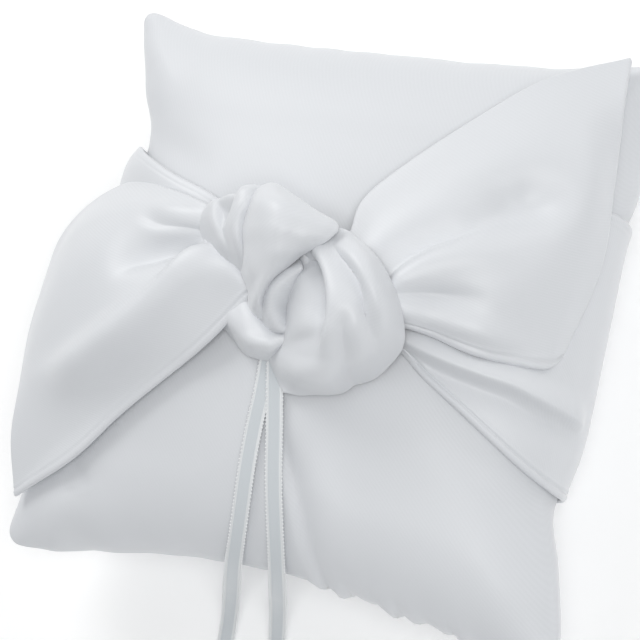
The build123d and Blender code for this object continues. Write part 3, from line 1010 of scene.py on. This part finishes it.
def picot_beads(path, across, normal):
    """Vertices and faces of the tiny loops along both woven edges of a ribbon."""
    lengths = np.concatenate([[0], np.cumsum(np.linalg.norm(np.diff(path, axis=0), axis=-1))])
    places = np.arange(0.5, lengths[-1], PICOT_STEP)
    ring = np.linspace(0, 2 * math.pi, 7)[:-1]
    vertices, faces = [], []
    for place in places:
        middle, side, up = (
            np.array([np.interp(place, lengths, source[:, k]) for k in range(3)])
            for source in (path, across, normal)
        )
        along = np.cross(side, up)
        for sign in (-1, 1):
            centre = middle + side * sign * (RIBBON_BODY / 2 + 0.1)
            first = len(vertices)
            vertices.append(centre + up * PICOT_RADIUS)
            for level, size in ((0.5, 0.87), (-0.5, 0.87)):
                for angle in ring:
                    reach = side * math.cos(angle) * 1.25 + along * math.sin(angle)
                    vertices.append(centre + (up * level + reach * size) * PICOT_RADIUS)
            vertices.append(centre - up * PICOT_RADIUS)
            for k in range(6):
                n = (k + 1) % 6
                faces.append((first, first + 1 + k, first + 1 + n))
                faces.append((first + 1 + k, first + 7 + k, first + 7 + n, first + 1 + n))
                faces.append((first + 7 + k, first + 13, first + 7 + n))
    return np.array(vertices), faces


def make_ribbon(name, route, node):
    path = route_curve(route)
    tangent = np.gradient(path, axis=0)
    tangent /= np.linalg.norm(tangent, axis=-1, keepdims=True)
    across = np.array([1.0, 0, 0]) - tangent * tangent[:, :1]
    across /= np.linalg.norm(across, axis=-1, keepdims=True)
    normal = np.cross(across, tangent)
    # the woven edge is a little thicker than the satin between
    edge = RIBBON_BODY / 2
    profile = (
        (-edge, 0), (-2.5, 0.1), (-2.1, 0.1), (-1.9, -0.02), (-1, 0), (0, 0.02),
        (1, 0), (1.9, -0.02), (2.1, 0.1), (2.5, 0.1), (edge, 0),
    )
    grid = np.stack([path + across * side + normal * lift for side, lift in profile], 1)
    up = np.repeat(normal[:, None, :], len(profile), 1)
    ribbon = cloth(name, grid, RIBBON_THICK, up, grid_threads(grid))
    finish(ribbon, RIBBON_SATIN, "ribbon_satin", "cushion", node)
    picots = new_mesh(name + "_picots", *picot_beads(path, across, normal))
    finish(picots, PICOT, "ribbon_satin", "cushion")


# ---- inside pieces and thread -----------------------------------------------------------------
STITCH_RADIUS = 0.2
STITCH_BENDS, STITCH_SIDES = 9, 8


def closing_stitches():
    """Hand stitches over the bottom seam, each sunk in its own small gather."""
    vertices, faces = [], []
    for x in range(CLOSING_START, CLOSING_END, CLOSING_STEP):
        u = x / half_width(np.array(x), np.array(-90.0))
        seam = seam_points(np.array([u]), np.array([-1.0]))[0]
        bend = np.linspace(-1.25, 1.25, STITCH_BENDS)
        ring = np.linspace(0, 2 * math.pi, STITCH_SIDES + 1)[:-1]
        first = len(vertices)
        for angle in bend:
            spoke = np.array([0.45 * math.sin(angle), -math.cos(angle), math.sin(angle)])
            middle = seam + np.array([0, 1.1, 0]) + spoke * np.array([1, 1, 1.3])
            for turn in ring:
                spread = spoke * math.cos(turn) + np.array([1, 0, 0]) * math.sin(turn)
                vertices.append(middle + STITCH_RADIUS * spread)
        last = first + (STITCH_BENDS - 1) * STITCH_SIDES
        for here in range(first, last, STITCH_SIDES):
            ahead = here + STITCH_SIDES
            for k in range(STITCH_SIDES):
                n = (k + 1) % STITCH_SIDES
                faces.append((here + k, here + n, ahead + n, ahead + k))
        faces.append(tuple(first + k for k in range(STITCH_SIDES)))
        faces.append(tuple(last + k for k in range(STITCH_SIDES)))
    stitches = new_mesh("closing_thread", np.array(vertices), faces)
    finish(stitches, THREAD, "thread", "cushion", "closing_stitches")


def make_inside():
    """Filling, stitches and the ribbon's fold: mostly out of sight."""
    filling = cushion_mesh("filling_fibre", FILLING_INSET)
    finish(filling, FIBRE, "fibre_fill", "cushion", "filling")
    for node, material in (
        ("knot_tack_stitches", THREAD),
        ("ribbon_tack_stitches", THREAD),
        ("ribbon_fold", RIBBON_SATIN),
    ):
        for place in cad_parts[node].material_slots:
            place.material = material


# ---- floor ------------------------------------------------------------------------------------
def make_floor():
    reach = 3000.0
    floor = new_mesh(
        "floor",
        [(-reach, -reach, 0), (reach, -reach, 0), (reach, reach, 0), (-reach, reach, 0)],
        [(0, 1, 2, 3)],
    )
    material = bpy.data.materials.new("floor_paper")
    material.use_nodes = True
    shader = material.node_tree.nodes["Principled BSDF"]
    shader.inputs["Base Color"].default_value = (0.95, 0.95, 0.95, 1)
    shader.inputs["Roughness"].default_value = 0.9
    shader.inputs["Emission Color"].default_value = (1, 1, 1, 1)
    shader.inputs["Emission Strength"].default_value = 0.12
    floor.data.materials.append(material)


make_lights()
make_floor()
make_ribbon("ring_ribbon_left", LEFT_RIBBON_ROUTE, "ribbon_left")
make_ribbon("ring_ribbon_right", RIGHT_RIBBON_ROUTE, "ribbon_right")
make_cushion()
make_inside()
closing_stitches()
make_band()
make_tails()
make_knot()
